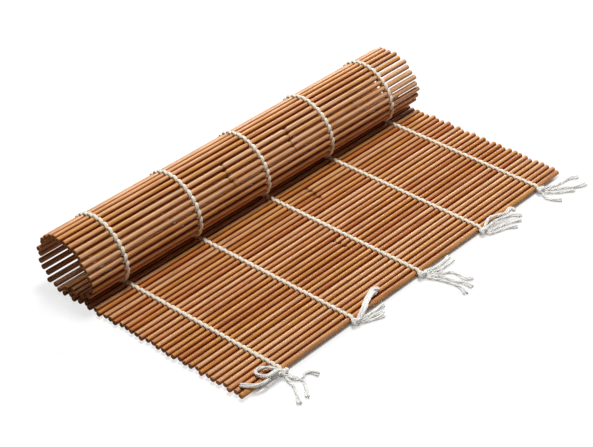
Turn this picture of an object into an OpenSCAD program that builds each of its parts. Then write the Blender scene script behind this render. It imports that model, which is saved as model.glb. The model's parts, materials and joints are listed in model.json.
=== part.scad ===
// Sushi rolling mat: round bamboo sticks side by side, held by five strings.
// Each string is two yarns that twine round every stick and end in a knot and a tassel.
// The front of the mat lies flat and its far end is rolled into an open tube.
// X runs along the sticks, Y from the tasselled front edge to the roll, Z is up.
// The origin lies on the table, under the middle string, below the last flat stick.

/* [Sticks] */
// Length of a stick
stick_l = 240; // [180:5:300]
// Diameter of a stick
stick_d = 2.6; // [2.5:0.05:2.7]
// Chamfer round the ends of a stick
stick_chamfer = 0.25; // [0.1:0.05:0.4]
// How far the ends of the sticks stand out of line
end_scatter = 0.8; // [0:0.1:2]

/* [Strings] */
// Thickness of one yarn
yarn_d = 0.6; // [0.54:0.02:0.66]
// Distance between the two yarns of a string, from middle to middle
yarn_spread = 1.2; // [1:0.05:1.4]
// Play between a yarn and what it lies against
weave_play = 0.1; // [0.07:0.01:0.13]
// How deep a yarn is pressed flat where it lies on the table
yarn_flat = 0.1; // [0.06:0.01:0.16]
// Distance from the ends of the sticks to the outer strings
string_inset = 22.6; // [15:0.1:30]
// How far the middle string lies to the right of the sticks' middle
string_shift = 1.4; // [0:0.1:3]

/* [Roll] */
// Radius of the roll where it rises from the table
rise_r = 15.6; // [14.8:0.1:15.8]
// Radius of the roll from its back to its top
crown_r = 14.1; // [13.8:0.1:14.8]
// Radius of the roll in front of its top
brow_r = 21.6; // [21:0.1:22.2]
// Radius of the roll further down its front
front_r = 18.2; // [17.6:0.1:18.8]
// Heading at which the tucked end starts, level being 360 degrees
tuck_angle = 355; // [350:1:358]
// Radius of the slight curl that is left in the tucked end
tuck_radius = 150; // [120:5:300]
// Clearance between the tucked end and the flat strings
tuck_play = 0.1; // [0.05:0.05:0.5]

/* [Tassels] */
// Distance from the first stick's axis to the middle of a knot
knot_reach = 3.5; // [3.4:0.1:5]
// Half the width of a knot, to the middle of its yarn
knot_r = 1.4; // [1.2:0.05:1.5]
// Thickness of the yarn in a knot, where it isn't pressed by the sticks
knot_yarn_d = 1.2; // [1:0.05:1.25]
// Thickness of a loose end
strand_d = 1.3; // [1:0.05:1.3]

/* [Hidden] */
front_pairs = 10;
base_sticks = 14;
group_size = 3;
base_groups = ceil(base_sticks / group_size);
roll_sticks = 29;
string_count = 5;
turns_joined = 6;
front_sticks = 2 * front_pairs;
flat_sticks = front_sticks + base_sticks;

// The yarn between two sticks sets their pitch, and the two yarns lie side by side there
pitch = stick_d + yarn_d + 2 * weave_play;
yarn_side = yarn_spread / 2;
wrap_r = sqrt(pow(pitch / 2, 2) + pow(yarn_side, 2));
string_w = 2 * yarn_side + yarn_d;
string_gap = (stick_l - 2 * string_inset) / (string_count - 1);
stick_z = wrap_r + yarn_d / 2 - yarn_flat;
front_y = -(flat_sticks - 1) * pitch;
knot_z = max(stick_z, knot_r + knot_yarn_d / 2);

// The tucked end lies on the flat strings, and its own strings lie beside them,
// because the mat is rolled up a little askew
tuck_z = stick_z + wrap_r + yarn_d / 2 + stick_d / 2 + tuck_play;
lean = 1.15 * string_w / (roll_sticks - 8);

stick_colour = [0.66, 0.40, 0.22];
yarn_colour = [0.93, 0.90, 0.82];

function digits(n) = n < 10 ? str("0", n) : str(n);
function base_first(g) = front_sticks + group_size * g + 1;
function base_count(g) = min(group_size, base_sticks - group_size * g);
function pair_name(k) = str("sticks_", digits(2 * k + 1), "_", digits(2 * k + 2));
function base_name(g) = str("sticks_", base_first(g), "_", base_first(g) + base_count(g) - 1);
function roll_name(k) = str("stick_", flat_sticks + k + 1);
function flat_string_name(s) = str("string_", s + 1, "_flat");
function roll_string_name(s) = str("string_", s + 1, "_roll");
function tassel_name(s) = str("tassel_", s + 1);

// The rolled mat goes round an oval of four arcs, comes down on the flat part with radius low_r
// and ends in the tuck. Each arc is [radius, angle], and the heading grows steadily along it.
function arcs(low_r) = [[rise_r, 90], [crown_r, 90], [brow_r, 45], [front_r, 45], [low_r, tuck_angle - 270]];
function heading_at(s, list, i = 0, a = 0) =
    i == len(list) ? a + s / tuck_radius * 180 / PI :
    s < list[i][0] * list[i][1] * PI / 180 ? a + s / list[i][0] * 180 / PI :
    heading_at(s - list[i][0] * list[i][1] * PI / 180, list, i + 1, a + list[i][1]);

// A link turns about the middle of the gap to the link before it, so that its heading is the
// mean of the curve's headings at its two ends
function link_angle(k, list) = (heading_at((k + 0.5) * pitch, list) + heading_at((k + 1.5) * pitch, list)) / 2;
function link_angles(list) = [for (k = [0 : roll_sticks - 1]) link_angle(k, list)];

// Each step is [angle, y, z]: the heading of a stick's link and the place of its axis
function half_link(a) = pitch / 2 * [cos(a), sin(a)];
function steps(angles) = [
    for (
        k = 0, p = half_link(0) + half_link(angles[0]);
        k < len(angles);
        k = k + 1, p = k < len(angles) ? p + half_link(angles[k - 1]) + half_link(angles[k]) : p
    ) [angles[k], p[0], p[1]]
];

// The radius with which the end comes down just to the height of the tuck
function tuck_height(list) = min([for (s = list) if (s[0] > 300) stick_z + s[2]]);
function low_gap(r) = tuck_height(steps(link_angles(arcs(r)))) - tuck_z;
function fit_radius(r, tries) = tries == 0 ? r : fit_radius(r + 0.9 * low_gap(r), tries - 1);
roll = steps(link_angles(arcs(fit_radius(2 * pitch, 8))));

function flat_place(i) = [0, (i - flat_sticks + 1) * pitch, stick_z];
function roll_place(k) = [roll[k][0], roll[k][1], stick_z + roll[k][2]];
function place(i) = i < flat_sticks ? flat_place(i) : roll_place(i - flat_sticks);

// Even sticks and odd sticks are shifted by repeatable fractions of the scatter
function scatter(i, step) = 2 * (i * step - floor(i * step)) - 1;
function string_x(s) = (s - (string_count - 1) / 2) * string_gap;
function lean_at(gap) = gap <= flat_sticks ? 0 : (flat_sticks - gap) * lean;
function yarn_x(yarn, gap) = lean_at(gap) + ((gap + yarn) % 2 == 0 ? -yarn_side : yarn_side);

module at_stick(i) {
    translate([0, place(i)[1], place(i)[2]])
        rotate([place(i)[0], 0, 0])
            children();
}

module stick(i) {
    shift = end_scatter * scatter(i, 0.618);
    half = stick_l / 2 + end_scatter / 2 * scatter(i, 0.414);
    r = stick_d / 2;
    c = stick_chamfer;
    color(stick_colour)
        at_stick(i)
            translate([shift - string_shift, 0, 0])
                rotate([0, 90, 0])
                    rotate_extrude($fn = 32)
                        polygon([[0, -half], [r - c, -half], [r, c - half], [r, half - c], [r - c, half], [0, half]]);
}

module sticks(first, count) {
    for (i = [first : first + count - 1])
        stick(i);
}

// Half a turn of yarn over a stick, or under it, from one gap to the next
module yarn_turn(yarn, i) {
    x0 = yarn_x(yarn, i);
    x1 = yarn_x(yarn, i + 1);
    over = (i + yarn) % 2 == 0;
    at_stick(i)
        translate([(x0 + x1) / 2, 0, 0])
            rotate([0, 0, atan2(pitch, x1 - x0)])
                rotate([over ? 90 : -90, 0, 0])
                    rotate_extrude(angle = 180, $fn = 32)
                        translate([norm([pitch, x1 - x0]) / 2, 0])
                            circle(d = yarn_d, $fn = 16);
}

// The yarn's bend in the gap before stick i
module yarn_bend(yarn, i) {
    at_stick(i)
        translate([yarn_x(yarn, i), -pitch / 2, 0])
            sphere(d = yarn_d + weave_play / 2, $fn = 24);
}

// A run of turns, joined a few at a time and then to one another
module yarn_run(yarn, first, last) {
    for (start = [first : turns_joined : last])
        union()
            for (i = [start : min(start + turns_joined - 1, last)]) {
                yarn_turn(yarn, i);
                if (i != flat_sticks)
                    yarn_bend(yarn, i);
            }
}

module flat_yarn(yarn) {
    difference() {
        union()
            yarn_run(yarn, 0, flat_sticks - 1);
        translate([-string_w, front_y - 2 * pitch, -2 * yarn_flat])
            cube([2 * string_w, flat_sticks * pitch + 2 * pitch, 2 * yarn_flat]);
    }
}

module flat_string(s) {
    color(yarn_colour)
        translate([string_x(s), 0, 0]) {
            flat_yarn(0);
            flat_yarn(1);
        }
}

// At the rolled end the yarn folds back round the last stick, so both are one yarn
module roll_string(s) {
    last = flat_sticks + roll_sticks - 1;
    color(yarn_colour)
        translate([string_x(s), 0, 0]) {
            for (yarn = [0 : 1])
                union()
                    yarn_run(yarn, flat_sticks, last);
            at_stick(last)
                translate([lean_at(last + 1), pitch / 2, 0])
                    rotate([0, 90, 0]) {
                        cylinder(d = yarn_d + weave_play / 2, h = 2 * yarn_side, center = true, $fn = 24);
                        for (side = [-1, 1])
                            translate([0, 0, side * yarn_side])
                                sphere(d = yarn_d + weave_play / 2, $fn = 24);
                    }
        }
}

// Points on a smooth curve through the chosen points, with a new point half way along each span
function before(p, i) = i == 0 ? p[0] : p[i - 1];
function after(p, i) = p[min(i, len(p) - 1)];
function half_way(p, i) = (9 * (p[i] + p[i + 1]) - before(p, i) - after(p, i + 2)) / 16;
function smooth(p) = [
    for (i = [0 : 2 * len(p) - 2])
        i % 2 == 0 ? p[i / 2] : half_way(p, (i - 1) / 2)
];
function unit(v) = v / norm(v);
function heading(p, i) = unit(after(p, i + 1) - before(p, i));

// One ring of a tube, with sides points round its middle. No tube runs along its own up direction.
function ring(c, t, r, sides, up) =
    let (across = unit(cross(t, up)), lift = cross(across, t))
    [for (j = [0 : sides - 1]) c + r * (cos(360 * j / sides) * across + sin(360 * j / sides) * lift)];

// Two triangles for each side of each span
function tube_walls(n, sides) = [
    for (i = [0 : n - 2], j = [0 : sides - 1])
        let (a = i * sides + j, b = i * sides + (j + 1) % sides)
        each [[a, b, a + sides], [b, b + sides, a + sides]]
];

// A fan of triangles over the ring that starts at point first
function cap(first, sides, back) = [
    for (j = [1 : sides - 2])
        back ? [first, first + j + 1, first + j] : [first, first + j, first + j + 1]
];

module tube(path, d, sides, up = [0, 0, 1]) {
    n = len(path);
    points = [for (i = [0 : n - 1]) each ring(path[i], heading(path, i), d / 2, sides, up)];
    faces = concat(tube_walls(n, sides), cap(0, sides, true), cap((n - 1) * sides, sides, false));
    polyhedron(points = points, faces = faces, convexity = 8);
}

// An overhand knot drawn tight: two turns of yarn that cross over each other
module knot() {
    for (tilt = [-1, 1])
        rotate([90 + 24 * tilt, 0, 35 * tilt])
            translate([0, 0, 0.1 * tilt])
                rotate_extrude($fn = 24)
                    translate([knot_r, 0])
                        circle(d = knot_yarn_d, $fn = 12);
}

// The loose ends of each string, from the knot outward: sideways, forward and up from the
// middle of the string's end on the table. Some lie on the table and some on the first sticks.
loose_ends = [
    [
        [[-1.3, -2.9, 3.6], [-4.6, 1.9, 5], [-7.8, 4.9, 4.5], [-10.3, 4.1, 4.3], [-10.5, 1.3, 4.3], [-8.9, -1.8, 4.8]],
        [[-2.9, -3.1, 3.2], [-7, -2.6, 3.6], [-11.6, -3, 4], [-15.9, -1.9, 4.1], [-19, 1.1, 4.2], [-20.3, 4, 4.2]],
        [[-0.3, -5.8, 1.6], [0.7, -9, 1], [3.4, -10.5, 0.8], [6.1, -9.8, 1.2], [9.1, -10.7, 0.8], [10.7, -14.4, 0.7]],
        [[1.2, -6.6, 1.1], [2.4, -10.2, 0.7], [2.2, -13, 0.7], [-0.6, -16.6, 0.7], [-4.6, -21, 0.7]],
        [[-1.7, -6.4, 1], [-2.9, -11.1, 0.7], [-5, -14.7, 0.7], [-10, -21.4, 0.7]]
    ],
    [
        [[1.8, -3.4, 3.6], [7.7, -1.1, 5.1], [12.5, 1.6, 4.7], [17.9, 3.7, 4.5], [22, 4.4, 4.5], [24.2, 2.4, 4.3]],
        [[2.3, -4, 3.2], [8.2, -2.3, 4.7], [13, 0.4, 4.5], [18.2, 2.5, 4.3], [21.4, 2.6, 4.4]],
        [[4.4, -4.4, 2.5], [11.2, -4.5, 2], [16.6, -4.1, 1.5], [19.4, -3.7, 1.2]],
        [[4.2, -5.1, 1.8], [10.2, -6, 1.4], [15.3, -7.1, 1]],
        [[3.8, -5.6, 1], [9.1, -7.6, 0.7], [13.8, -8.9, 0.7]]
    ],
    [
        [[3.2, -3.5, 2.7], [8.8, -5.2, 2.5], [16.1, -4.4, 2], [21.1, -3.4, 1.5]],
        [[3.4, -4.5, 2.2], [9.2, -6.7, 1.4], [16.9, -6.2, 0.9], [21.3, -5.9, 0.7]],
        [[3.6, -5.3, 1.5], [8, -8.6, 0.8], [12, -11.4, 0.7], [12.9, -15.4, 0.7], [12.2, -19.7, 0.7], [15.3, -22, 0.7]],
        [[2.6, -5.9, 1.2], [6.1, -9.6, 0.7], [7, -13.6, 0.7], [7.6, -17.5, 0.7], [9.2, -20.9, 0.7], [9.6, -26.1, 0.7]],
        [[1.2, -6.5, 1], [3.6, -11.2, 0.7], [5.2, -17.4, 0.7], [5.3, -22.6, 0.7], [3.3, -27.3, 0.7]]
    ],
    [
        [[1.6, -3.1, 3.7], [6.9, -1.5, 5.2], [12.3, -2.3, 4.6], [17.5, -3.4, 3.6], [23, -3, 3.5], [24.4, -5.1, 2.5]],
        [[2.4, -3.7, 3.1], [9.7, -3.6, 3.2], [15.7, -4.6, 2.8], [20.7, -6.3, 2], [24.6, -8.8, 1.2]],
        [[2, -5, 1.4], [6.2, -5.7, 1.2], [11, -6.6, 1], [16.6, -8.1, 0.8], [21.7, -10.6, 0.7]],
        [[1, -5.8, 1], [5.6, -7.7, 0.7], [10.9, -9.3, 0.7], [16.1, -12.4, 0.7]]
    ],
    [
        [[2.2, -3.9, 2.5], [8.9, -5.8, 1.2], [16, -6.5, 0.8], [20.9, -7.2, 0.8], [24.9, -9.7, 0.7]],
        [[2.3, -4.9, 1.6], [8.2, -8, 0.8], [12.4, -10.9, 0.8], [16.5, -14.3, 0.8], [22.2, -16.2, 0.7]],
        [[1.3, -5.7, 1.1], [5.3, -9.9, 0.7], [9.6, -12.9, 0.7], [13.4, -15.2, 0.7]],
        [[-0.9, -5.6, 1.2], [-2.5, -9, 0.7], [-1.2, -12.6, 0.7], [1.6, -15.4, 0.7]]
    ]
];

module tassel(s) {
    centre = [0, -knot_reach, knot_z];
    joint = -pitch / 2 - yarn_d / 2 - weave_play;
    color(yarn_colour)
        translate([string_x(s), front_y, 0])
            union() {
                translate(centre)
                    knot();
                union() {
                    for (side = [-1, 1])
                        tube([centre, [side * yarn_side, joint, stick_z]], knot_yarn_d, 6);
                    for (p = loose_ends[s])
                        tube(smooth(concat([centre], p)), strand_d, 6);
                }
            }
}

for (k = [0 : front_pairs - 1])
    sticks(2 * k, 2);
for (g = [0 : base_groups - 1])
    sticks(base_first(g) - 1, base_count(g));
for (k = [0 : roll_sticks - 1])
    stick(flat_sticks + k);
for (s = [0 : string_count - 1])
    flat_string(s);
for (s = [0 : string_count - 1])
    roll_string(s);
for (s = [0 : string_count - 1])
    tassel(s);
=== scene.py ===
"""Looks of the sushi rolling mat: bamboo sticks, twined strings, knots and tassels.

All lengths are in metres in the row frame. X runs along the sticks, Y from the tasselled
front edge to the roll and Z is up.
"""

import json
import math
import random

import bpy
import numpy as np
from mathutils import Matrix, Vector


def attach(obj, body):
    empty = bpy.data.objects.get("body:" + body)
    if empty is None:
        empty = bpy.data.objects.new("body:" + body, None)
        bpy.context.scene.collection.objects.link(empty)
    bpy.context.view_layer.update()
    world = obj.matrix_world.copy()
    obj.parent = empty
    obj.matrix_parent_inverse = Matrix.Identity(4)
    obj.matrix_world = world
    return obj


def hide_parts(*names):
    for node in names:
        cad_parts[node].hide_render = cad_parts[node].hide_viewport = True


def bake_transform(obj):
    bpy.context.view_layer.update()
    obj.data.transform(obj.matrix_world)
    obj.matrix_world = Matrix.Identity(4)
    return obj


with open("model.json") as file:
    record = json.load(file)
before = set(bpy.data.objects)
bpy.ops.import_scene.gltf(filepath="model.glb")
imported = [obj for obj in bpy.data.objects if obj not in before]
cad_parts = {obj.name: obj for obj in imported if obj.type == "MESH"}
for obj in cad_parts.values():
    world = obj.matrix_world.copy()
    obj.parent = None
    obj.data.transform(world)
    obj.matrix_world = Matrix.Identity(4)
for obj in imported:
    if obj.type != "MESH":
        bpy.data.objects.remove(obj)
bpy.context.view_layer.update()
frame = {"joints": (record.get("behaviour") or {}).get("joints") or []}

MM = 0.001
TURN = 2 * math.pi
SIDEWAYS, UPWARD = (1.0, 0.0, 0.0), (0.0, 0.0, 1.0)

# Sticks are counted from the front edge. FRONT of them turn in pairs, and the flat part has FLAT.
# Those between FRONT and FLAT share CAD nodes, GROUP in each
FRONT, FLAT, COUNT = 20, 34, 63
GROUP = 3
PITCH = 3.4 * MM

# The middle string lies to the right of the sticks' middle by STRING_SHIFT
STRINGS = 5
STRING_GAP = 48.7 * MM
STRING_SHIFT = 1.4 * MM

joints = {j["name"]: j for j in frame["joints"]}
STICK_Z = joints["front_curl"]["pos_m"][2]
FRONT_Y = -(FLAT - 1) * PITCH


# The chain of sticks, as the joints give it

def make_chain():
    """(body, y, z, angle) of each stick, from the front edge to the tucked end."""
    chain = []
    for i in range(FLAT):
        body = "pair_%02d" % (i // 2 + 1) if i < FRONT else "base"
        chain.append((body, (i - FLAT + 1) * PITCH, STICK_Z, 0.0))
    angle = 0.0
    for i in range(FLAT, COUNT):
        joint = joints["unroll" if i == FLAT else "unroll_%d" % (i + 1)]
        angle += math.radians(joint["range_deg"][1])
        y = joint["pos_m"][1] + PITCH / 2 * math.cos(angle)
        z = joint["pos_m"][2] + PITCH / 2 * math.sin(angle)
        chain.append(("roll_%d" % (i + 1), y, z, angle))
    return chain


chain = make_chain()
bodies = [link[0] for link in chain]


def in_row(i, x, p, q):
    """Points given along stick i, along its link and up from it, in the row frame."""
    _, y, z, a = chain[i]
    return np.stack([
        x,
        y + p * math.cos(a) - q * math.sin(a),
        z + p * math.sin(a) + q * math.cos(a),
    ], -1)


# Mesh helpers

def build(name, parts, material):
    """One mesh from parts of (points, faces, attributes), attributes being name: values.

    Faces are smooth, except those whose points are all marked as cut.
    """
    points, faces, smooth, values, start = [], [], [], {}, 0
    for co, part_faces, attributes in parts:
        points.append(co)
        faces += [[start + v for v in face] for face in part_faces]
        cut = attributes.get("cut")
        smooth += [cut is None or min(cut[v] for v in face) < 0.5 for face in part_faces]
        for key, value in attributes.items():
            values.setdefault(key, []).append(np.asarray(value, float))
        start += len(co)
    mesh = bpy.data.meshes.new(name)
    mesh.from_pydata(np.concatenate(points).tolist(), [], faces)
    for key, value in values.items():
        value = np.concatenate(value)
        vector = value.ndim == 2
        attribute = mesh.attributes.new(key, "FLOAT_VECTOR" if vector else "FLOAT", "POINT")
        field = "vector" if vector else "value"
        attribute.data.foreach_set(field, value.astype(np.float32).ravel())
    mesh.polygons.foreach_set("use_smooth", smooth)
    obj = add_object(name, mesh, material)
    return obj


def add_object(name, mesh, material):
    mesh.materials.append(material)
    mesh.update()
    obj = bpy.data.objects.new(name, mesh)
    bpy.context.collection.objects.link(obj)
    return obj


def tube_faces(rings, sides, close_ends=False):
    faces = []
    for r in range(rings - 1):
        for s in range(sides):
            a, b = r * sides + s, r * sides + (s + 1) % sides
            faces.append([a, b, b + sides, a + sides])
    if close_ends:
        faces.append(list(range(sides))[::-1])
        faces.append([(rings - 1) * sides + s for s in range(sides)])
    return faces


def lengths(path):
    """How far along the path each of its points lies."""
    steps = np.linalg.norm(np.diff(path, axis=0), axis=1)
    return np.concatenate([[0], np.cumsum(steps)])


def directions(path):
    tangent = np.gradient(path, axis=0)
    return tangent / np.linalg.norm(tangent, axis=1)[:, None]


def smooth_path(points, steps):
    """A Catmull-Rom curve through the points."""
    p = [np.asarray(q, float) for q in points]
    p = [2 * p[0] - p[1]] + p + [2 * p[-1] - p[-2]]
    out = []
    for k in range(1, len(p) - 2):
        for step in range(steps):
            t = step / steps
            out.append(0.5 * (2 * p[k] + (p[k + 1] - p[k - 1]) * t
                              + (2 * p[k - 1] - 5 * p[k] + 4 * p[k + 1] - p[k + 2]) * t ** 2
                              + (3 * p[k] - p[k - 1] - 3 * p[k + 1] + p[k + 2]) * t ** 3))
    out.append(p[-2])
    return np.array(out)


PLIES = 3


def sweep(path, radius, sides, across, twist=0.0, groove=0.0, along=None, seed=0.0,
          close_ends=False, thick=None):
    """A tube along path, grooved between plies that wind round by twist, in turns per metre.

    radius is half its width in the direction across, and thick half its other width. The seed
    moves the pattern of its fibres, so that no two tubes look alike.
    """
    path = np.asarray(path, float)
    rings = len(path)
    tangent = directions(path)
    across = np.broadcast_to(np.asarray(across, float), path.shape)
    u = across - (across * tangent).sum(1)[:, None] * tangent
    u /= np.linalg.norm(u, axis=1)[:, None]
    v = np.cross(tangent, u)
    if along is None:
        along = lengths(path)
    if thick is None:
        thick = radius
    radius = np.broadcast_to(np.asarray(radius, float), (rings,))[:, None]
    thick = np.broadcast_to(np.asarray(thick, float), (rings,))[:, None]
    theta = np.linspace(0, TURN, sides, endpoint=False)[None, :]
    phase = theta - TURN * twist * along[:, None]
    hollow = 1 - np.abs(np.cos(phase * PLIES / 2))
    shape = 1 - groove * hollow
    co = (path[:, None, :] + (radius * shape * np.cos(theta))[..., None] * u[:, None, :]
          + (thick * shape * np.sin(theta))[..., None] * v[:, None, :])
    lay = np.stack([
        np.broadcast_to(along[:, None] / MM + seed, phase.shape),
        np.cos(phase),
        np.sin(phase),
    ], -1)
    attributes = {"lay": lay.reshape(-1, 3), "hollow": hollow.ravel()}
    return co.reshape(-1, 3), tube_faces(rings, sides, close_ends), attributes


# Materials

class Nodes:
    """Short ways to add shader nodes to a new material or world."""

    def __init__(self, block, shader="Principled BSDF"):
        block.use_nodes = True
        self.block = block
        self.tree = block.node_tree
        self.shader = self.tree.nodes[shader]

    def add(self, kind, **settings):
        node = self.tree.nodes.new(kind)
        for key, value in settings.items():
            setattr(node, key, value)
        return node

    def link(self, a, b):
        self.tree.links.new(a, b)

    def put(self, key, output):
        """Leads an output to one of the shader's sockets."""
        self.link(output, self.shader.inputs[key])

    def set(self, numbers):
        """Numbers or colours for the shader's own sockets."""
        for key, value in numbers.items():
            self.shader.inputs[key].default_value = value

    def attribute(self, name, vector=False):
        node = self.add("ShaderNodeAttribute", attribute_name=name)
        return node.outputs["Vector" if vector else "Fac"]

    def noise(self, source, scale, detail, roughness):
        """Noise over a vector that is first multiplied by the three numbers of scale."""
        scaled = self.add("ShaderNodeVectorMath", operation="MULTIPLY")
        self.link(source, scaled.inputs[0])
        scaled.inputs[1].default_value = scale
        node = self.add("ShaderNodeTexNoise")
        self.link(scaled.outputs[0], node.inputs["Vector"])
        node.inputs["Scale"].default_value = 1.0
        node.inputs["Detail"].default_value = detail
        node.inputs["Roughness"].default_value = roughness
        return node.outputs["Fac"]

    def math(self, operation, a, b=None, clamp=False):
        node = self.add("ShaderNodeMath", operation=operation, use_clamp=clamp)
        for socket, value in zip(node.inputs, (a, b)):
            if value is None:
                continue
            if isinstance(value, (int, float)):
                socket.default_value = value
            else:
                self.link(value, socket)
        return node.outputs[0]

    def spread(self, value, low, high, out_low=0.0, out_high=1.0):
        """Goes smoothly from out_low to out_high as value goes from low to high."""
        node = self.add("ShaderNodeMapRange", interpolation_type="SMOOTHSTEP")
        self.link(value, node.inputs["Value"])
        numbers = {"From Min": low, "From Max": high, "To Min": out_low, "To Max": out_high}
        for key, number in numbers.items():
            node.inputs[key].default_value = number
        return node.outputs["Result"]

    def mix(self, factor, a, b, blend="MIX"):
        node = self.add("ShaderNodeMix", data_type="RGBA", blend_type=blend)
        for socket, value in ((node.inputs[0], factor), (node.inputs[6], a), (node.inputs[7], b)):
            if isinstance(value, (int, float)):
                socket.default_value = value
            elif isinstance(value, tuple):
                socket.default_value = (*value, 1)
            else:
                self.link(value, socket)
        return node.outputs[2]

    def tint(self, base, colour, value, low, high, most=1.0, blend="MIX"):
        """base with more and more of colour as value goes from low to high."""
        return self.mix(self.spread(value, low, high, 0.0, most), base, colour, blend)

    def bump(self, height, distance, strength):
        node = self.add("ShaderNodeBump")
        node.inputs["Distance"].default_value = distance
        node.inputs["Strength"].default_value = strength
        self.link(height, node.inputs["Height"])
        self.put("Normal", node.outputs["Normal"])


BAMBOO_LIGHT = (0.82, 0.455, 0.215)
BAMBOO_MID = (0.54, 0.175, 0.034)
# Painted light: this pale colour stands in for the brighter light and sheen on the roll's sticks and
# beyond nodes
BAMBOO_PAINTED_LIGHT = (0.88, 0.57, 0.34)
BAMBOO_GOLD = (0.70, 0.33, 0.062)
BAMBOO_DARK = (0.14, 0.024, 0.003)
# Painted shade colour for the sides of the sticks that face a neighbour
BAMBOO_PAINTED_SHADE = (0.52, 0.19, 0.04)
BAMBOO_PITH = (0.34, 0.14, 0.045)
BAMBOO_SHINE = (1.0, 0.72, 0.46, 1)
SCAR_STRENGTH = 0.7
CUT_ROUGHNESS = 0.85


def bamboo_material():
    """Satin bamboo. The noises are long along the stick and fine across it."""
    n = Nodes(bpy.data.materials.new("bamboo"))
    grain = n.attribute("grain", vector=True)
    tone = n.attribute("tone")
    cut = n.attribute("cut")
    streaks = n.noise(grain, (0.06, 2.6, 2.6), detail=5.0, roughness=0.62)
    fibres = n.noise(grain, (0.16, 9.0, 9.0), detail=4.0, roughness=0.7)
    patches = n.noise(grain, (0.035, 0.35, 0.35), detail=3.0, roughness=0.5)
    gold = n.noise(grain, (0.02, 0.22, 0.22), detail=2.0, roughness=0.5)
    pores = n.noise(grain, (0.0, 5.0, 5.0), detail=2.0, roughness=0.5)

    patchy_tone = n.math("ADD", tone, n.math("SUBTRACT", patches, 0.5))
    base = n.tint(BAMBOO_MID, BAMBOO_LIGHT, patchy_tone, 0.0, 1.0)
    # Each colour covers those before it, up to most, as its value goes from low to high
    for colour, value, low, high, most in (
        (BAMBOO_PAINTED_LIGHT, tone, 0.9, 1.7, 0.8),
        (BAMBOO_GOLD, gold, 0.46, 0.66, 0.7),
        (BAMBOO_DARK, streaks, 0.42, 0.72, 0.6),
        (BAMBOO_DARK, fibres, 0.56, 0.74, 0.5),
        (BAMBOO_LIGHT, fibres, 0.44, 0.30, 0.35),
    ):
        base = n.tint(base, colour, value, low, high, most)
    scar = n.math("MULTIPLY", n.attribute("scar"), SCAR_STRENGTH, clamp=True)
    base = n.mix(scar, base, BAMBOO_DARK)
    # Painted shade: the sides that face the next stick are darkened, standing in for the shade that
    # falls between the sticks
    base = n.tint(base, BAMBOO_PAINTED_SHADE, n.attribute("side"), 0.50, 1.0, blend="MULTIPLY")
    cut_end = n.tint(BAMBOO_PITH, BAMBOO_DARK, pores, 0.50, 0.70, 0.35)
    n.put("Base Color", n.mix(cut, base, cut_end))

    rough = n.spread(streaks, 0.3, 0.7, 0.28, 0.46)
    n.put("Roughness", n.math("MAXIMUM", rough, n.math("MULTIPLY", cut, CUT_ROUGHNESS)))
    n.set({"Specular IOR Level": 0.26, "Specular Tint": BAMBOO_SHINE})
    height = n.math("ADD", n.math("MULTIPLY", streaks, 0.6), n.math("MULTIPLY", fibres, 0.5))
    n.bump(height, distance=0.1 * MM, strength=0.6)
    return n.block


# Painted shade: cotton takes a share of its shade's colour in the hollows between the plies. It is
# also a little darker in clumps
HOLLOW_PAINTED_SHADE = 0.12
CLUMP_COLOUR = 0.97


def cotton_material(name, colour, shade):
    """Cotton with fine hairs, soft clumps and a little painted shade between the plies."""
    n = Nodes(bpy.data.materials.new(name))
    lay = n.attribute("lay", vector=True)
    hairs = n.noise(lay, (0.55, 5.0, 5.0), detail=5.0, roughness=0.65)
    clumps = n.noise(lay, (0.25, 1.2, 1.2), detail=3.0, roughness=0.5)
    base = n.tint(colour, tuple(c * CLUMP_COLOUR for c in colour), clumps, 0.35, 0.7)
    base = n.tint(base, shade, hairs, 0.5, 0.72, 0.18)
    # Painted shade in the hollows between the plies
    hollow = n.math("POWER", n.attribute("hollow"), 2.0)
    n.put("Base Color", n.mix(n.math("MULTIPLY", hollow, HOLLOW_PAINTED_SHADE), base, shade))
    n.set({
        "Roughness": 0.9,
        "Specular IOR Level": 0.2,
        "Sheen Weight": 0.9,
        "Sheen Roughness": 0.5,
    })
    n.bump(hairs, distance=0.04 * MM, strength=0.4)
    return n.block


bamboo = bamboo_material()
string_cotton = cotton_material("string_cotton", (0.99, 0.92, 0.77), (0.80, 0.66, 0.48))
tassel_cotton = cotton_material("tassel_cotton", (0.99, 0.975, 0.935), (0.86, 0.80, 0.70))


# Sticks

STICK_R = 1.34 * MM
STICK_HALF = 120 * MM
STICK_SIDES = 16
STICK_SEED = 100

# Sticks are shifted and cut longer or shorter by repeatable fractions of the scatter
SCATTER = 0.8 * MM
SHIFT_STEP, LENGTH_STEP = 0.618, 0.414

# Rings at each end, from the cut face to the chamfer's inner edge
CHAMFER = 0.28 * MM
END_IN = np.array([0, 0, 0.4, 1]) * CHAMFER
END_R = np.array([0.45, 1 - CHAMFER / STICK_R, 1 - 0.3 * CHAMFER / STICK_R, 1])
CUT_RINGS = 2
# Rings between the ends, and the closer rings round a node of the cane
EVEN_RINGS = 47
EVEN_IN = 1.2 * MM
NODE_RINGS = np.array([-1.6, -0.9, -0.5, -0.2, 0.1, 0.5, 1.0, 1.8]) * MM

# How far a stick is out of round: (times round it, share of the radius)
OUT_OF_ROUND = ((2, 0.012), (3, 0.010))
# How its thickness goes up and down: (length of the wave, share of the radius)
SWELLS = ((21 * MM, 0.012), (7 * MM, 0.008))
# It bows by so many mm. The bow is half a wave of BOW_SPAN times half its length
BOW = 0.02, 0.15
BOW_SPAN = 2.3
BOW_OFFSET = 0.4
# The saw leaves the ends a little out of square
SAW_TILT = 0.12
SAW_REACH = 1.0 * MM
ANY_ANGLE = 0, 6.28

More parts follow.
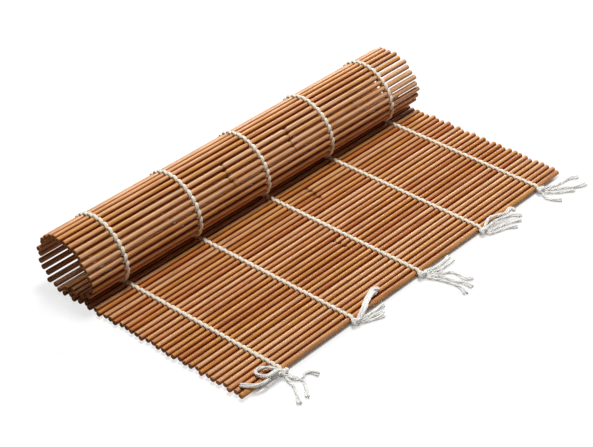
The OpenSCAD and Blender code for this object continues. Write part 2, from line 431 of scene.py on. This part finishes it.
# A node, in mm from its place: a ridge, then a groove with a dark line, and beyond it a painted
# highlight that makes the cane paler
RIDGE_AT, GROOVE_AT = -1.8, 0.1
NODE_WIDE, NODE_LINE, NODE_CUT = 0.8, 0.5, 1.25
NODE_STEP = 0.05
PAINTED_HIGHLIGHT_BY, PAINTED_HIGHLIGHT_REACH = 0.35, 14
# It was planed away on the side that points up and back: that side along Y and Z, and how far
PLANED_SIDE = 0.72, 0.69
PLANED_BY, PLANED_EDGE = 0.42, 1.4

# Each stick has another stretch of grain, moved along it and in two ways across it
GRAIN_SHIFT = 37.3, 11.1, 5.7
GRAIN_CYCLES = 7, 5
# Tones go from dark to pale. The sticks of the roll are painted paler still, which is painted light:
# it stands in for the brighter light and sheen on the roll
TONES = -0.15, 1.1
ROLL_PAINTED_LIGHT = 0.6

# Sticks split side by side from one cane have its nodes side by side: (first stick, places)
NODE_GROUPS = [
    (50, (-23.2, -23.5, -23.6, -23.0)),
    (50, (22.7, 22.4, 21.9, 21.4)),
    (39, (-64.0, -63.2, -62.9)),
    (22, (18.5, 19.2, 19.6, 20.3)),
    (11, (-6.0, -5.4, -5.1)),
]
SCARS = {}
for first, places in NODE_GROUPS:
    for k, place in enumerate(places):
        SCARS.setdefault(first + k, []).append(place * MM)


def fraction(i, step):
    """A number from -1 to 1 that differs from stick to stick."""
    return 2 * (i * step - math.floor(i * step)) - 1


def bell(d, middle, width):
    return np.exp(-((d - middle) / width) ** 2)


def ring_places(half, scars):
    """Where a stick's rings lie along it."""
    inner = np.linspace(-half + EVEN_IN, half - EVEN_IN, EVEN_RINGS)
    for scar in scars:
        inner = np.sort(np.concatenate([inner, scar + NODE_RINGS]))
    return np.concatenate([-half + END_IN, inner, (half - END_IN)[::-1]])


def rod(i):
    """One bamboo stick: nearly round and straight, with cut ends and sometimes a node."""
    draw = random.Random(STICK_SEED + i)
    scars = SCARS.get(i, ())
    shift = SCATTER * fraction(i, SHIFT_STEP) - STRING_SHIFT
    half = STICK_HALF + SCATTER / 2 * fraction(i, LENGTH_STEP)
    x = ring_places(half, scars)
    rings = len(x)
    theta = np.linspace(0, TURN, STICK_SIDES, endpoint=False)

    # Its thickness round it and along it
    round_phases = [draw.uniform(*ANY_ANGLE) for _ in OUT_OF_ROUND]
    swell_phases = [draw.uniform(*ANY_ANGLE) for _ in SWELLS]
    out_of_round, swell = 1, 1
    for (times, share), phase in zip(OUT_OF_ROUND, round_phases):
        out_of_round = out_of_round + share * np.cos(times * theta + phase)
    for (wave, share), phase in zip(SWELLS, swell_phases):
        swell = swell + share * np.sin(x / wave + phase)
    dark, painted_highlight, planed = np.zeros(rings), np.zeros(rings), np.zeros(rings)
    for scar in scars:
        d = (x - scar) / MM
        swell = swell + NODE_STEP * bell(d, RIDGE_AT, NODE_WIDE)
        swell = swell - NODE_STEP * bell(d, GROOVE_AT, NODE_WIDE)
        dark = dark + bell(d, GROOVE_AT, NODE_LINE)
        # Painted highlight: the cane beyond the node is made paler
        painted_highlight = painted_highlight + PAINTED_HIGHLIGHT_BY * np.where(d > 0, np.exp(-np.maximum(d, 0) / PAINTED_HIGHLIGHT_REACH), 0)
        planed = planed + np.exp(-(np.abs(d - GROOVE_AT) / NODE_CUT) ** 3)
    a = chain[i][3]
    back, up = PLANED_SIDE
    planed_at = math.atan2(up * math.cos(a) - back * math.sin(a),
                           back * math.cos(a) + up * math.sin(a))
    facing = np.maximum(np.cos(theta - planed_at), 0)[None, :] ** PLANED_EDGE
    r = np.concatenate([END_R, np.ones(rings - 2 * len(END_R)), END_R[::-1]]) * STICK_R
    r = (r * swell)[:, None] * out_of_round[None, :] * (1 - PLANED_BY * planed[:, None] * facing)

    # Its bow and its ends
    bow = draw.uniform(*BOW) * MM
    bow = bow * np.cos(math.pi * x / (BOW_SPAN * half) + draw.uniform(-BOW_OFFSET, BOW_OFFSET))
    bow_at = draw.uniform(*ANY_ANGLE)
    p = r * np.cos(theta) + (bow * math.cos(bow_at))[:, None]
    q = r * np.sin(theta) + (bow * math.sin(bow_at))[:, None]
    tilt = draw.uniform(-SAW_TILT, SAW_TILT), draw.uniform(-SAW_TILT, SAW_TILT)
    near_end = (np.abs(np.abs(x) - half) < SAW_REACH).astype(float)[:, None]
    x = x[:, None] + near_end * (tilt[0] * p + tilt[1] * q) + shift

    grain = np.stack([
        x / MM + GRAIN_SHIFT[0] * i,
        p / MM + GRAIN_SHIFT[1] * (i % GRAIN_CYCLES[0]),
        q / MM + GRAIN_SHIFT[2] * (i % GRAIN_CYCLES[1]),
    ], -1)
    # Random tone, plus painted light on the sticks of the roll
    tone = draw.uniform(*TONES) + (ROLL_PAINTED_LIGHT if i >= FLAT else 0.0)
    cut = np.zeros(rings)
    cut[:CUT_RINGS] = cut[-CUT_RINGS:] = 1
    # The painted shade falls on the sides that face a neighbour. The first and the last stick have a
    # neighbour on one side only
    side = np.cos(theta)
    if i == 0:
        side = np.maximum(side, 0)
    elif i == COUNT - 1:
        side = np.maximum(-side, 0)
    else:
        side = np.abs(side)
    faces = tube_faces(rings, STICK_SIDES, close_ends=True)
    return in_row(i, x, p, q).reshape(-1, 3), faces, {
        "grain": grain.reshape(-1, 3),
        "tone": np.repeat(tone + painted_highlight, STICK_SIDES),
        "scar": np.repeat(dark, STICK_SIDES),
        "cut": np.repeat(cut, STICK_SIDES),
        "side": np.tile(side, rings),
    }


def stick_node(i):
    """The CAD node that holds stick i, and its first and last stick."""
    if i < FRONT:
        first, last = i // 2 * 2, i // 2 * 2 + 1
    elif i < FLAT:
        first = FRONT + (i - FRONT) // GROUP * GROUP
        last = min(first + GROUP, FLAT) - 1
    else:
        return "stick_%d" % (i + 1), i, i
    return "sticks_%02d_%02d" % (first + 1, last + 1), first, last


last = -1
while last < COUNT - 1:
    node, first, last = stick_node(last + 1)
    obj = build("bamboo_" + node, [rod(k) for k in range(first, last + 1)], bamboo)
    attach(obj, bodies[first])
    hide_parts(node)


# Strings

# A yarn lies to one side of its string's middle, and YARN_LIFT over or under a stick's axis
YARN_SIDE = 0.5 * MM
YARN_LIFT = 1.78 * MM
YARN_BULGE = 0.5
# Up the roll a string leans to one side, by 1.15 times its width of 1.8 mm in 21 sticks
LEAN = 1.15 * 1.8 / 21 * MM
# A yarn is soft: it spreads where it lies over a stick and is squeezed between two sticks.
# These are half its width and half its thickness at both places
YARN_WIDE = 1.04 * MM, 0.76 * MM
YARN_THICK = 0.64 * MM, 0.54 * MM
YARN_SPREAD = 0.7
# Its width also varies: (share, rate along it, step from string to string, from yarn to yarn)
YARN_UNEVEN = ((0.05, 2.1, 1.7, 0), (0.04, 3.7, 2.3, 1))
YARN_SIDES = 14
YARN_RINGS = 22
YARN_PER_STICK = 5.4 * MM
YARN_LAY = {"twist": 0.17 / MM, "groove": 0.14}
# Where a yarn starts and ends, in sticks from the first stick, and a short step along it
YARN_START, YARN_END = -0.5, COUNT - 0.5
YARN_STEP = 0.02


def string_x(s):
    return (s - (STRINGS - 1) / 2) * STRING_GAP


def yarn_x(yarn, gap):
    """Where a yarn crosses a gap, from its string's middle. It changes sides in each gap."""
    lean = 0.0 if gap <= FLAT else (FLAT - gap) * LEAN
    return lean + (-YARN_SIDE if (gap + yarn) % 2 == 0 else YARN_SIDE)


def yarn_path(s, yarn, places):
    """Points of a yarn. A place is a whole number at a stick and a half between two sticks."""
    out = []
    for place in places:
        i = min(max(int(math.floor(place + 0.5)), 0), COUNT - 1)
        phi = (place - i + 0.5) * math.pi
        x0, x1 = yarn_x(yarn, i), yarn_x(yarn, i + 1)
        x = string_x(s) + (x0 + x1) / 2 + (x0 - x1) / 2 * math.cos(phi)
        over = 1 if (i + yarn) % 2 == 0 else -1
        lift = over * YARN_LIFT * math.copysign(abs(math.sin(phi)) ** YARN_BULGE, math.sin(phi))
        out.append(in_row(i, x, -PITCH / 2 * math.cos(phi), lift))
    return np.array(out)


def yarn_piece(s, yarn, start, end):
    count = max(3, int(round((end - start) * YARN_RINGS)) + 1)
    # A place just outside each end gives the tube's end the direction of its neighbour's end
    places = np.concatenate([[start - YARN_STEP], np.linspace(start, end, count), [end + YARN_STEP]])
    over = np.abs(np.cos(math.pi * places)) ** YARN_SPREAD
    uneven = 1
    for share, rate, by_string, by_yarn in YARN_UNEVEN:
        uneven = uneven + share * np.sin(rate * places + by_string * s + by_yarn * yarn)
    wide = (YARN_WIDE[1] + (YARN_WIDE[0] - YARN_WIDE[1]) * over) * uneven
    thick = YARN_THICK[1] + (YARN_THICK[0] - YARN_THICK[1]) * over
    co, _, attributes = sweep(yarn_path(s, yarn, places), wide, YARN_SIDES, SIDEWAYS,
                              along=places * YARN_PER_STICK, seed=90 * s + 41 * yarn,
                              thick=thick, **YARN_LAY)
    inside = slice(YARN_SIDES, len(co) - YARN_SIDES)
    co = co[inside]
    co[:, 2] = np.maximum(co[:, 2], 0)
    return co, tube_faces(count, YARN_SIDES), {k: v[inside] for k, v in attributes.items()}


def strings_between(start, end):
    return [yarn_piece(s, yarn, start, end) for s in range(STRINGS) for yarn in (0, 1)]


# The fold at the rolled end goes straight on for FOLD_LEAD short steps, and outward in mm
FOLD_NEAR, FOLD_FAR = 0.3, 0.55
FOLD_LEAD = 3
FOLD_R = 0.46 * MM
FOLD_STEPS = 8
FOLD_ACROSS = (0.3, 0.5, 0.8)


def fold(s):
    """At the rolled end the yarn turns back round the last stick."""
    places = [YARN_END - YARN_STEP, YARN_END]
    (a0, a1), (b0, b1) = [yarn_path(s, yarn, places) for yarn in (0, 1)]
    outward = a1 - in_row(COUNT - 1, a1[0], 0.0, 0.0)
    outward /= np.linalg.norm(outward)
    path = smooth_path([
        a1,
        a1 + (a1 - a0) * FOLD_LEAD + outward * FOLD_NEAR * MM,
        (a1 + b1) / 2 + outward * FOLD_FAR * MM,
        b1 + (b1 - b0) * FOLD_LEAD + outward * FOLD_NEAR * MM,
        b1,
    ], FOLD_STEPS)
    return sweep(path, FOLD_R, YARN_SIDES, FOLD_ACROSS, seed=900 + s, close_ends=True, **YARN_LAY)


# Between sticks of one body the strings ride with that body, and across a hinge each span is built as
# a piece of its own, in the row frame
runs = {}
for i in range(COUNT - 1):
    if bodies[i] == bodies[i + 1]:
        runs.setdefault(bodies[i], []).append((i, i + 1))
        continue
    name = "strings_hinge_%02d" % (i + 1)
    obj = build(name, strings_between(i, i + 1), string_cotton)
    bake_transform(obj)
for body, spans in runs.items():
    parts = []
    for start, end in spans:
        parts += strings_between(start, end)
    if body == bodies[0]:
        parts += strings_between(YARN_START, 0)
    obj = build("strings_" + body, parts, string_cotton)
    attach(obj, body)
    if body == "base":
        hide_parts(*["string_%d_flat" % (s + 1) for s in range(STRINGS)])
        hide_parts(*["string_%d_roll" % (s + 1) for s in range(STRINGS)])
parts = strings_between(COUNT - 1, YARN_END) + [fold(s) for s in range(STRINGS)]
obj = build("strings_fold", parts, string_cotton)
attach(obj, bodies[-1])


# Knots and tassels

# The loose ends of each string in mm, from the first stick's axis: sideways, back and up
LOOSE_ENDS = [
    [
        [(-1.3, -2.9, 3.6), (-4.6, 1.9, 5), (-7.8, 4.9, 4.5), (-10.3, 4.1, 4.3),
         (-10.5, 1.3, 4.3), (-8.9, -1.8, 4.9), (-6.2, -2.5, 5.1), (-3.2, -2.5, 4.8)],
        [(-2.9, -3.1, 3.2), (-7, -2.6, 3.6), (-11.6, -3, 4), (-15.9, -1.9, 4.1),
         (-19, 1.1, 4.2), (-20.3, 4, 4.2)],
        [(-0.3, -5.8, 1.6), (0.7, -9, 1), (3.4, -10.5, 0.8), (6.1, -9.8, 1.2),
         (9.1, -10.7, 0.8), (10.7, -14.4, 0.7)],
        [(1.2, -6.6, 1.1), (2.4, -10.2, 0.7), (2.2, -13, 0.7), (-0.6, -16.6, 0.7), (-4.6, -21, 0.7)],
        [(-1.7, -6.4, 1), (-2.9, -11.1, 0.7), (-5, -14.7, 0.7), (-10, -21.4, 0.7)],
    ],
    [
        [(1.8, -3.4, 3.6), (7.7, -1.1, 5.1), (12.5, 1.6, 4.7), (17.9, 3.7, 4.5),
         (22, 4.4, 4.5), (24.2, 2.4, 4.3)],
        [(2.3, -4, 3.2), (8.2, -2.3, 4.7), (13, 0.4, 4.5), (18.2, 2.5, 4.3), (21.4, 2.6, 4.4)],
        [(4.4, -4.4, 2.5), (11.2, -4.5, 2), (16.6, -4.1, 1.5), (19.4, -3.7, 1.2)],
        [(4.2, -5.1, 1.8), (10.2, -6, 1.4), (15.3, -7.1, 1)],
        [(3.8, -5.6, 1), (9.1, -7.6, 0.7), (13.8, -8.9, 0.7)],
    ],
    [
        [(3.2, -3.5, 2.7), (8.8, -5.2, 2.5), (16.1, -4.4, 2), (21.1, -3.4, 1.5)],
        [(3.4, -4.5, 2.2), (9.2, -6.7, 1.4), (16.9, -6.2, 0.9), (21.3, -5.9, 0.7)],
        [(3.6, -5.3, 1.5), (8, -8.6, 0.8), (12, -11.4, 0.7), (12.9, -15.4, 0.7),
         (12.2, -19.7, 0.7), (15.3, -22, 0.7)],
        [(2.6, -5.9, 1.2), (6.1, -9.6, 0.7), (7, -13.6, 0.7), (7.6, -17.5, 0.7),
         (9.2, -20.9, 0.7), (9.6, -26.1, 0.7)],
        [(1.2, -6.5, 1), (3.6, -11.2, 0.7), (5.2, -17.4, 0.7), (5.3, -22.6, 0.7), (3.3, -27.3, 0.7)],
    ],
    [
        [(1.6, -3.1, 3.7), (6.9, -1.5, 5.2), (12.3, -2.3, 4.6), (17.5, -3.4, 3.6),
         (23, -3, 3.5), (24.4, -5.1, 2.5)],
        [(2.4, -3.7, 3.1), (9.7, -3.6, 3.2), (15.7, -4.6, 2.8), (20.7, -6.3, 2), (24.6, -8.8, 1.2)],
        [(2, -5, 1.4), (6.2, -5.7, 1.2), (11, -6.6, 1), (16.6, -8.1, 0.8), (21.7, -10.6, 0.7)],
        [(1, -5.8, 1), (5.6, -7.7, 0.7), (10.9, -9.3, 0.7), (16.1, -12.4, 0.7)],
    ],
    [
        [(2.2, -3.9, 2.5), (8.9, -5.8, 1.2), (16, -6.5, 0.8), (20.9, -7.2, 0.8), (24.9, -9.7, 0.7)],
        [(2.3, -4.9, 1.6), (8.2, -8, 0.8), (12.4, -10.9, 0.8), (16.5, -14.3, 0.8), (22.2, -16.2, 0.7)],
        [(1.3, -5.7, 1.1), (5.3, -9.9, 0.7), (9.6, -12.9, 0.7), (13.4, -15.2, 0.7)],
        [(-0.9, -5.6, 1.2), (-2.5, -9, 0.7), (-1.2, -12.6, 0.7), (1.6, -15.4, 0.7)],
    ],
]
TASSEL_SEED = 40

KNOT_REACH = 3.5 * MM
KNOT_SIZE = 2.0 / 3 * MM
KNOT_DEEP = 1.35
KNOT_YARN_R = 0.86 * MM
KNOT_STEPS, KNOT_SIDES = 90, 12
KNOT_ACROSS = (0.15, 1.0, 0.1)
KNOT_LAY = {"twist": 0.2 / MM, "groove": 0.18}
KNOT_SPIN_Y, KNOT_SPIN_Z = 0.25, 0.3
# From the string's end a yarn leads into the knot
LEAD_R = 0.56 * MM
LEAD_BEND = 0.45
LEAD_STEPS = 5

# The plies of a loose end wind round each other, more slowly towards the tip
PLY_R = 0.53 * MM
PLY_STEPS, PLY_SIDES = 9, 8
PLY_START = 0, 0.5
PLY_TURN = 8.5 * MM
PLY_SLOWING = 0.45
PLY_OFF_TABLE = 0.02 * MM
PLY_LAY = {"twist": 0.25 / MM, "groove": 0.04}
# From OPEN_FROM of the length on they come apart, from PLY_REACH by up to OPEN_REACH in mm,
# get thicker and lie flatter
OPEN_FROM, OPEN_EDGE = 0.62, 1.5
PLY_REACH, OPEN_REACH = 0.34, 0.62
OPEN_VARIES = 0.6, 1.3
OPEN_THICKER, OPEN_FLATTER = 0.25, 0.6
TIP_FROM, TIP_R = 0.985, 0.6

# Stray fibres, with lengths in mm
HAIRS = 14
HAIR_FROM = 0.25, 0.97
HAIR_SIDEWAYS, HAIR_UP = (-1, 1), (-0.2, 0.9)
HAIR_AWAY, HAIR_FORWARD = (1.0, 2.6), (0.8, 2.4)
HAIR_R = 0.05, 0.03
# Its middle and its tip: how far forward and how far away they are
HAIR_MIDDLE, HAIR_TIP = (0.5, 0.25), (1, 0.8)
HAIR_STEPS, HAIR_SIDES = 4, 4
HAIR_ACROSS = (0.1, 0.2, 1.0)
HAIR_OFF_TABLE = 0.06 * MM


def knot_path(steps):
    """The line of an overhand knot drawn tight, seen along the string."""
    t = np.linspace(0, TURN, steps)
    x = np.sin(t) + 2 * np.sin(2 * t)
    y = KNOT_DEEP * np.sin(3 * t)
    z = np.cos(t) - 2 * np.cos(2 * t)
    return KNOT_SIZE * np.stack([x, y, z], -1)


def loose_end(points, draw, seed):
    """A loose end of three plies that come apart towards the tip, with stray fibres."""
    path = smooth_path(points, PLY_STEPS)
    length = lengths(path)
    u = length / length[-1]
    tangent = directions(path)
    side = np.cross(tangent, UPWARD)
    side /= np.linalg.norm(side, axis=1)[:, None]
    up = np.cross(side, tangent)
    open_up = np.clip((u - OPEN_FROM) / (1 - OPEN_FROM), 0, 1) ** OPEN_EDGE
    flatter = (1 - OPEN_FLATTER * open_up)[:, None]
    radius = PLY_R * (1 + OPEN_THICKER * open_up) * np.where(u > TIP_FROM, TIP_R, 1.0)
    parts = []
    for ply in range(PLIES):
        turns = ply / PLIES + length / PLY_TURN * (1 - PLY_SLOWING * u)
        angle = (TURN * turns + draw.uniform(*PLY_START))[:, None]
        reach = (PLY_REACH + OPEN_REACH * open_up * draw.uniform(*OPEN_VARIES)) * MM
        co = path + reach[:, None] * (np.cos(angle) * side + np.sin(angle) * up * flatter)
        co[:, 2] = np.maximum(co[:, 2], radius + PLY_OFF_TABLE)
        parts.append(sweep(co, radius, PLY_SIDES, UPWARD, seed=seed + 17 * ply,
                           close_ends=True, **PLY_LAY))
    for _ in range(HAIRS):
        k = int(draw.uniform(*HAIR_FROM) * (len(path) - 2))
        away = side[k] * draw.uniform(*HAIR_SIDEWAYS) + up[k] * draw.uniform(*HAIR_UP)
        reach = draw.uniform(*HAIR_AWAY) * MM
        forward = tangent[k] * draw.uniform(*HAIR_FORWARD) * MM
        root = path[k]
        bends = [root + forward * f + away * reach * a for f, a in (HAIR_MIDDLE, HAIR_TIP)]
        hair = smooth_path([root] + bends, HAIR_STEPS)
        hair[:, 2] = np.maximum(hair[:, 2], HAIR_OFF_TABLE)
        radius = np.linspace(*HAIR_R, len(hair)) * MM
        parts.append(sweep(hair, radius, HAIR_SIDES, HAIR_ACROSS, seed=seed))
    return parts


def tassel_parts(s):
    """The knot of string s, the ends of its two yarns and the loose ends."""
    draw = random.Random(TASSEL_SEED + s)
    origin = np.array([string_x(s), FRONT_Y, 0])
    centre = origin + np.array([0, -KNOT_REACH, STICK_Z])
    spin = Matrix.Rotation(draw.uniform(-KNOT_SPIN_Y, KNOT_SPIN_Y), 3, "Y")
    spin = spin @ Matrix.Rotation(draw.uniform(-KNOT_SPIN_Z, KNOT_SPIN_Z), 3, "Z")
    line = np.array([spin @ Vector(p) for p in knot_path(KNOT_STEPS)]) + centre
    line[:, 2] = np.maximum(line[:, 2], KNOT_YARN_R)
    parts = [sweep(line, KNOT_YARN_R, KNOT_SIDES, KNOT_ACROSS, seed=10 * s, **KNOT_LAY)]
    for yarn in (0, 1):
        inner, outer = yarn_path(s, yarn, [YARN_START + 2 * YARN_STEP, YARN_START])
        bend = outer * LEAD_BEND + centre * (1 - LEAD_BEND)
        lead = smooth_path([inner, outer, bend, centre], LEAD_STEPS)
        parts.append(sweep(lead, LEAD_R, YARN_SIDES, SIDEWAYS, seed=10 * s + 3 * yarn, **YARN_LAY))
    for k, points in enumerate(LOOSE_ENDS[s]):
        line = [centre] + [origin + np.array(p) * MM for p in points]
        parts += loose_end(line, draw, 100 * s + 20 * k)
    return parts


for s in range(STRINGS):
    tassel = build("cotton_tassel_%d" % (s + 1), tassel_parts(s), tassel_cotton)
    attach(tassel, "pair_01")
    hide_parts("tassel_%d" % (s + 1))


# Floor, world, lamps and camera

def seen_ray(n):
    """1 where the camera, a reflection or a refraction sees a surface."""
    path = n.add("ShaderNodeLightPath")
    a = n.math("MAXIMUM", path.outputs["Is Camera Ray"], path.outputs["Is Glossy Ray"])
    return n.math("MAXIMUM", a, path.outputs["Is Transmission Ray"])


FLOOR_HALF = 3.0
FLOOR_Z = -0.00005
# The floor well below the mat at rest: its middle, half its size and the band around it
COVER_MIDDLE = 0.0, -0.056
COVER_HALF = 0.110, 0.055
COVER_BAND = 0.008
# The floor's colour to the eye, and to the light that it throws back
SEEN_BELOW, SEEN_AROUND = (0.97, 0.97, 0.97), (0.28, 0.28, 0.28)
BACK_BELOW, BACK_FRONT = (0.26, 0.23, 0.20), (0.86, 0.85, 0.83)
# In front of this band the floor throws the most light on the tassels
FRONT_BAND = -0.12, -0.03
# Far from the mat the lamps are weak, and the floor shines more by itself
GLOW_BAND = 0.10, 0.80
GLOW_NEAR, GLOW_FAR = 0.76, 1.0


def floor_material():
    """Pale to the light, and white to the eye. Shade is full below the mat and faint around it."""
    n = Nodes(bpy.data.materials.new("floor"))
    seen = seen_ray(n)
    place = n.add("ShaderNodeSeparateXYZ")
    n.link(n.add("ShaderNodeNewGeometry").outputs["Position"], place.inputs[0])
    squares = []
    for axis in (0, 1):
        offset = n.math("ABSOLUTE", n.math("SUBTRACT", place.outputs[axis], COVER_MIDDLE[axis]))
        past = n.math("MAXIMUM", n.math("SUBTRACT", offset, COVER_HALF[axis]), 0.0)
        squares.append(n.math("POWER", past, 2.0))
    distance = n.math("SQRT", n.math("ADD", *squares))
    around = n.spread(distance, 0.0, COVER_BAND)
    in_front = n.math("MULTIPLY", around, n.spread(place.outputs[1], *FRONT_BAND, 1.0, 0.0))
    colour = n.mix(seen, n.mix(in_front, BACK_BELOW, BACK_FRONT),
                   n.mix(around, SEEN_BELOW, SEEN_AROUND))
    n.put("Base Color", colour)
    glow = n.spread(distance, *GLOW_BAND, GLOW_NEAR, GLOW_FAR)
    n.put("Emission Strength", n.math("MULTIPLY", n.math("MULTIPLY", seen, around), glow))
    n.set({"Emission Color": (1, 1, 1, 1), "Roughness": 1.0, "Specular IOR Level": 0.0})
    return n.block


mesh = bpy.data.meshes.new("floor")
corners = [(x * FLOOR_HALF, y * FLOOR_HALF, FLOOR_Z) for x, y in ((-1, -1), (1, -1), (1, 1), (-1, 1))]
mesh.from_pydata(corners, [], [(0, 1, 2, 3)])
add_object("floor", mesh, floor_material())

# The world lights the mat a little and is white to the eye
WORLD_LEVEL = 0.02
studio = Nodes(bpy.data.worlds.new("studio"), "Background")
studio.set({"Color": (1, 1, 1, 1)})
studio.put("Strength", studio.spread(seen_ray(studio), 0.0, 1.0, WORLD_LEVEL, 1.0))
bpy.context.scene.world = studio.block

LIT_POINT = Vector((0.0, -0.04, 0.0))
# Name, place, size and watts
LAMPS = (
    ("top", Vector((0.18, 0.07, 1.10)), 0.36, 11.6),
    ("rim", Vector((1.00, 0.70, 0.75)), 0.45, 8.0),
)
for name, place, size, watts in LAMPS:
    data = bpy.data.lights.new(name, "AREA")
    data.shape = "RECTANGLE"
    data.size = data.size_y = size
    data.energy = watts
    lamp = bpy.data.objects.new(name, data)
    lamp.location = place
    lamp.rotation_euler = (LIT_POINT - place).to_track_quat("-Z", "Y").to_euler()
    bpy.context.collection.objects.link(lamp)

CAMERA_TARGET = Vector((-0.0070, -0.0428, 0.0021))
CAMERA_AZIMUTH, CAMERA_ELEVATION = math.radians(-48.53), math.radians(34.16)
CAMERA_DISTANCE = 0.8385
# The focal length and the photograph's width, both in its pixels
FOCAL_PIXELS, PHOTO_WIDTH = 1702.8, 593
SENSOR_WIDTH = 36.0
NEAREST = 0.01
data = bpy.data.cameras.new("camera")
data.sensor_width = SENSOR_WIDTH
data.lens = FOCAL_PIXELS / PHOTO_WIDTH * SENSOR_WIDTH
data.clip_start = NEAREST
camera = bpy.data.objects.new("camera", data)
direction = Vector((
    math.sin(CAMERA_AZIMUTH) * math.cos(CAMERA_ELEVATION),
    -math.cos(CAMERA_AZIMUTH) * math.cos(CAMERA_ELEVATION),
    math.sin(CAMERA_ELEVATION),
))
camera.location = CAMERA_TARGET + direction * CAMERA_DISTANCE
camera.rotation_euler = (-direction).to_track_quat("-Z", "Y").to_euler()
bpy.context.collection.objects.link(camera)
bpy.context.scene.camera = camera
bpy.context.scene.view_settings.view_transform = "Standard"
